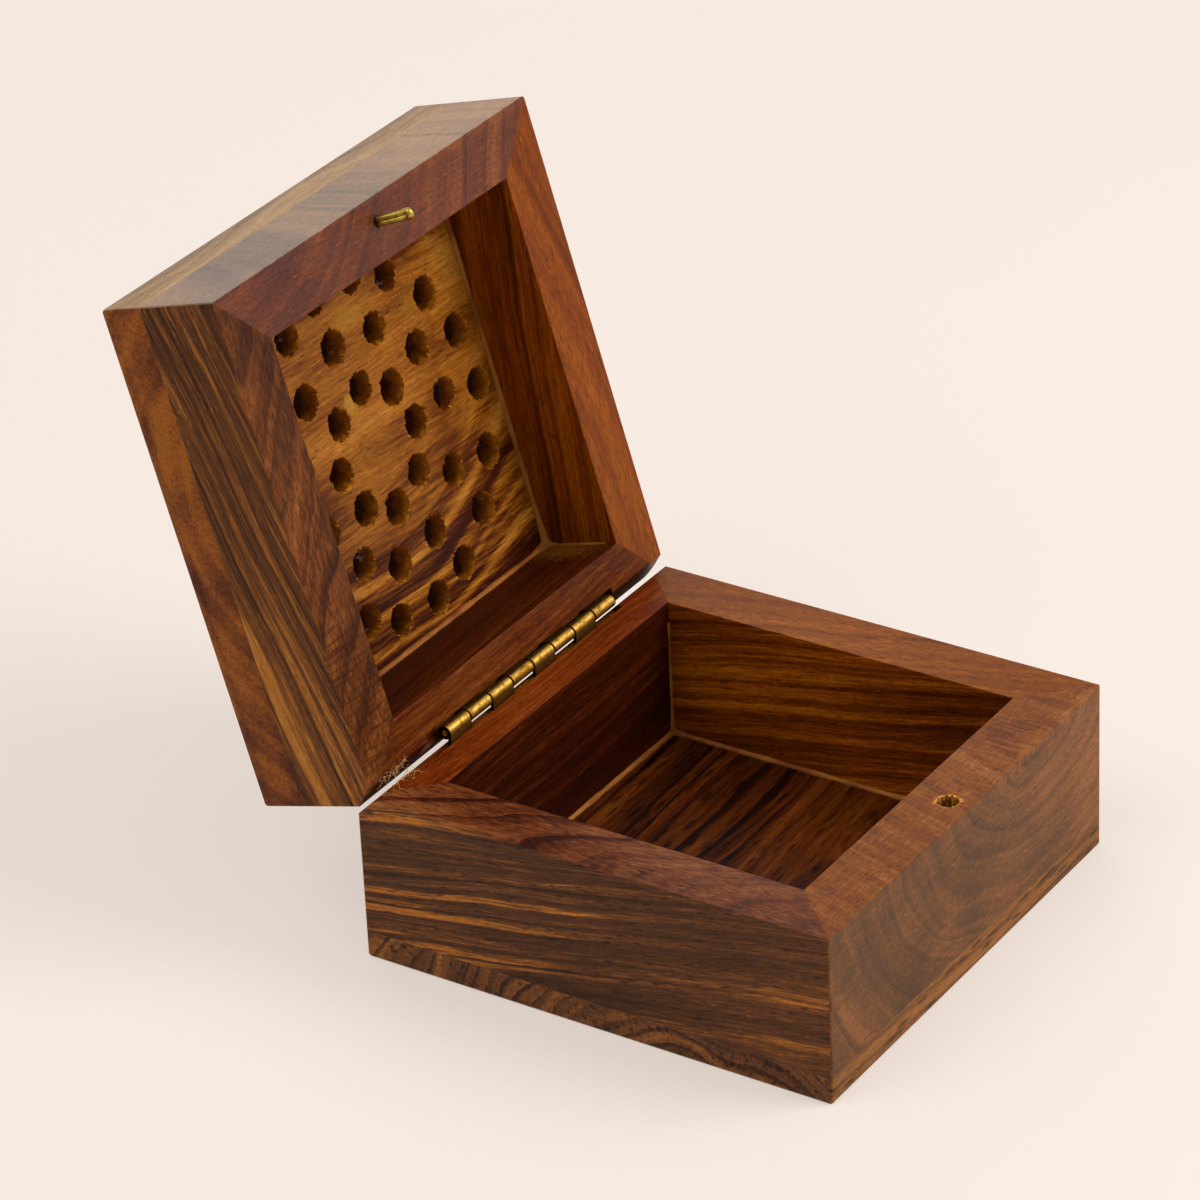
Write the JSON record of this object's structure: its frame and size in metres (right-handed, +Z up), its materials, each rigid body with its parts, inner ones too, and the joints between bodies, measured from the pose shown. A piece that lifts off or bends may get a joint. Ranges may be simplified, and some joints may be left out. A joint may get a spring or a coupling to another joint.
{
  "type": "wooden keepsake box",
  "caption": "Small square hardwood box with mitred rails, a deep hinged lid pierced with a ring pattern, a brass barrel hinge and a brass wire catch.",
  "frame": {"origin": "centre of the underside of the base", "axes": "+X along the hinge, +Y from the catch at the front to the hinge at the back, +Z up; the lid stands open"},
  "size_m": [0.1016, 0.1514, 0.1315],
  "materials": {
    "rosewood_rails": "sanded and waxed sheesham rosewood, dark and light figure",
    "rosewood_boards": "sanded and waxed sheesham rosewood, golden figure",
    "brass": "aged rolled sheet and drawn wire"
  },
  "bodies": {
    "base": {"base_bottom_board": "rosewood_boards", "base_left_rail": "rosewood_rails", "base_right_rail": "rosewood_rails", "base_front_rail": "rosewood_rails", "base_back_rail": "rosewood_rails", "hinge_base_leaf": "brass", "hinge_pin": "brass", "base_hinge_nails": "brass"},
    "lid": {"lid_left_rail": "rosewood_rails", "lid_right_rail": "rosewood_rails", "lid_front_rail": "rosewood_rails", "lid_back_rail": "rosewood_rails", "lid_top_board": "rosewood_boards", "hinge_lid_leaf": "brass", "catch_pin": "brass", "lid_hinge_nails": "brass"}
  },
  "joints": [
    {"name": "lid_hinge", "type": "hinge", "parent": "base", "child": "lid", "pos_m": [0, 0.0481, 0.0363], "axis": [1, 0, 0], "range_deg": [0, 106.2]}
  ]
}
